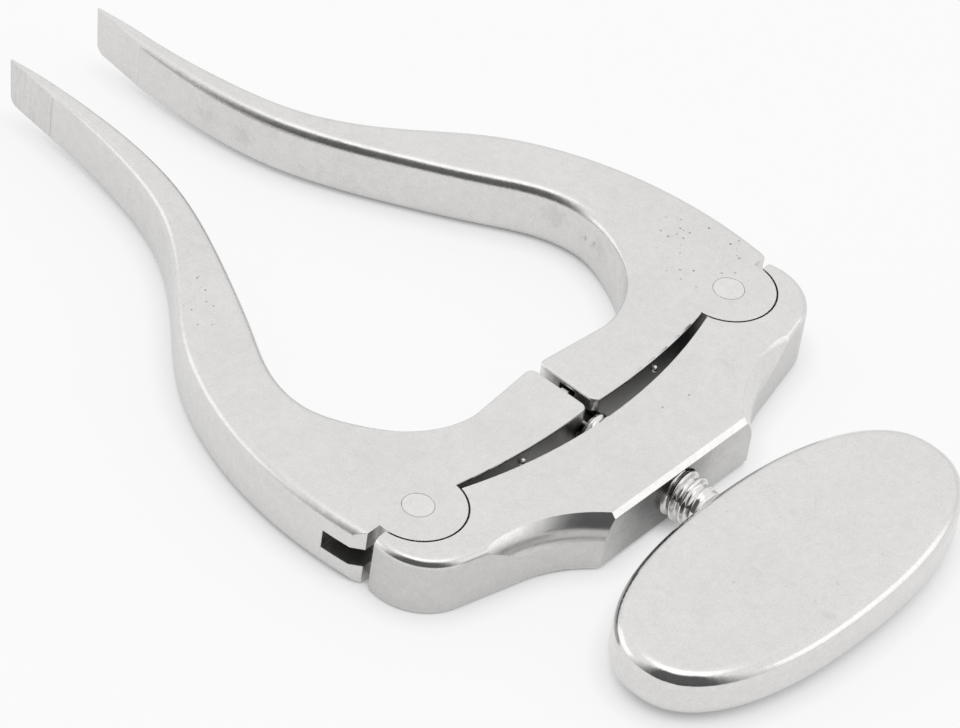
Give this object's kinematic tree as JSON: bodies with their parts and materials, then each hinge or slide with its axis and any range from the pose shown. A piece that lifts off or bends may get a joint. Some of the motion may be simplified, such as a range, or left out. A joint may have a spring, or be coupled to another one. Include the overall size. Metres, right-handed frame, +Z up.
{
  "type": "osteotomy distractor",
  "caption": "Surgical spreader: a thumb screw through a crossbar swings its pivoted curved arms, so that their thin blades part to open a bone cut.",
  "frame": {"origin": "on the underside of the crossbar, below the middle of the thumb screw; the instrument lies flat on Z = 0", "axes": "+X across the instrument and normal to its mirror plane, +Y from the thumb plate to the blade tips, +Z up through its thickness"},
  "size_m": [0.0796, 0.1405, 0.0086],
  "materials": {
    "yoke_steel": "satin flats with polished edges",
    "arm_steel": "satin flats with polished edges",
    "plate_steel": "bead-blasted faces with a polished rim",
    "screw_steel": "bright turned",
    "pin_steel": "satin, ground flush",
    "button_steel": "bright turned"
  },
  "bodies": {
    "yoke": {"yoke_body": "yoke_steel", "left_pivot_pin": "pin_steel", "right_pivot_pin": "pin_steel"},
    "button": {"swivel_button": "button_steel"},
    "screw": {"thumb_screw": "screw_steel", "thumb_plate": "plate_steel"},
    "left_arm": {"left_arm": "arm_steel", "left_stop_pin": "pin_steel"},
    "right_arm": {"right_arm": "arm_steel", "right_stop_pin": "pin_steel"}
  },
  "joints": [
    {"name": "screw_feed", "type": "slide", "parent": "yoke", "child": "button", "axis": [0, 1, 0], "range_m": [-0.00251, 0.0034]},
    {"name": "screw_turn", "type": "hinge", "parent": "button", "child": "screw", "pos_m": [0, 0, 0.0043], "axis": [0, 1, 0], "range_deg": [-604, 818]},
    {"name": "left_arm_pivot", "type": "hinge", "parent": "yoke", "child": "left_arm", "pos_m": [-0.03, 0.0115, 0], "axis": [0, 0, 1], "range_deg": [-4.85, 6.55]},
    {"name": "right_arm_pivot", "type": "hinge", "parent": "yoke", "child": "right_arm", "pos_m": [0.03, 0.0115, 0], "axis": [0, 0, 1], "range_deg": [-6.55, 4.85]}
  ],
  "couplings": [
    {"joint": "screw_turn", "follows": "screw_feed", "rad_per_m": 4188.8},
    {"joint": "left_arm_pivot", "follows": "screw_feed", "rad_per_m": 33.333},
    {"joint": "right_arm_pivot", "follows": "screw_feed", "rad_per_m": -33.333}
  ]
}
